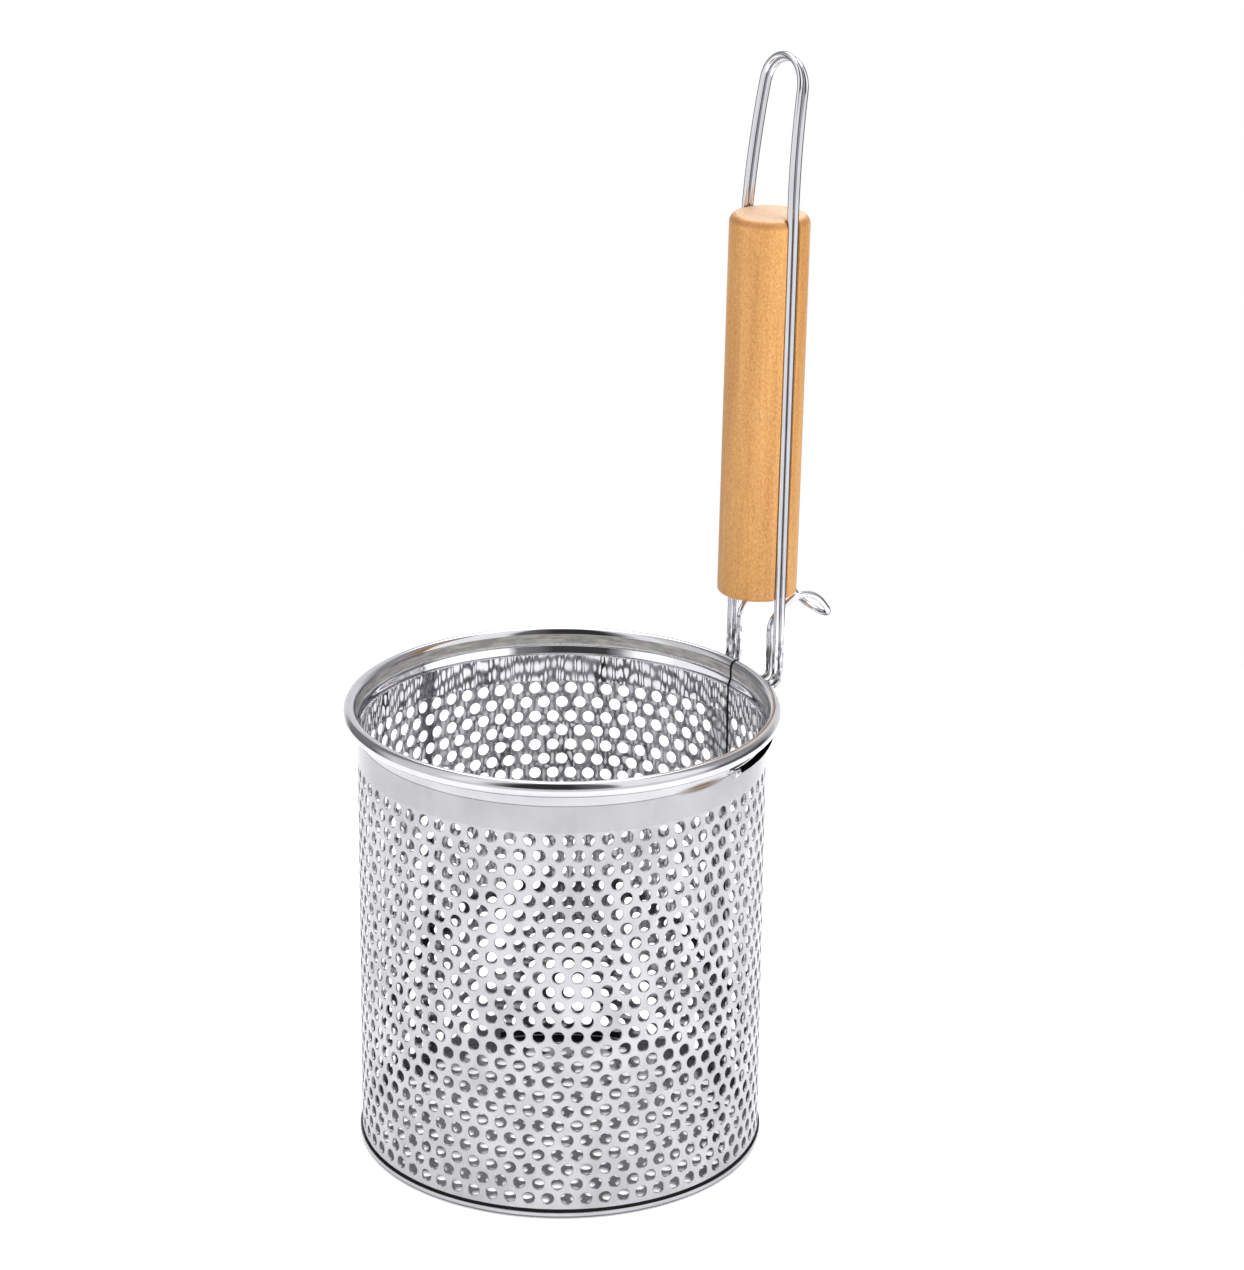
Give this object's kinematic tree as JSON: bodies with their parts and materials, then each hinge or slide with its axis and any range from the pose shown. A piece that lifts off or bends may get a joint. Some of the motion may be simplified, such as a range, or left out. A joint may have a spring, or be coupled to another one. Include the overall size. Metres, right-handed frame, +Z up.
{
  "type": "boiling basket",
  "caption": "Deep perforated steel cup with a rolled rim, an upright looped wire handle with a wooden grip, and a wire hook that hangs it on a pot's edge.",
  "frame": {"origin": "middle of the underside of the bottom cap, on the surface that the basket stands on", "axes": "+Z up along the cup's axis and the handle's length, +X from the cup's axis towards the handle, +Y to the left as seen from the handle"},
  "size_m": [0.1878, 0.1496, 0.3743],
  "materials": {
    "wall_steel": "satin, perforated sheet",
    "cap_steel": "satin, perforated sheet",
    "rim_wire_steel": "drawn wire",
    "outer_wire_steel": "polished wire",
    "inner_wire_steel": "polished wire",
    "hook_steel": "polished wire",
    "grip_wood": "sealed, satin",
    "weld_steel": "weld bead"
  },
  "bodies": {
    "root": {"basket_wall": "wall_steel", "bottom_cap": "cap_steel", "rim_wire": "rim_wire_steel", "handle_wire_outer": "outer_wire_steel", "handle_wire_inner": "inner_wire_steel", "hook_wire": "hook_steel", "wood_grip": "grip_wood", "leg_weld_left": "weld_steel", "leg_weld_right": "weld_steel", "wrap_weld_left": "weld_steel", "wrap_weld_right": "weld_steel"}
  },
  "joints": []
}
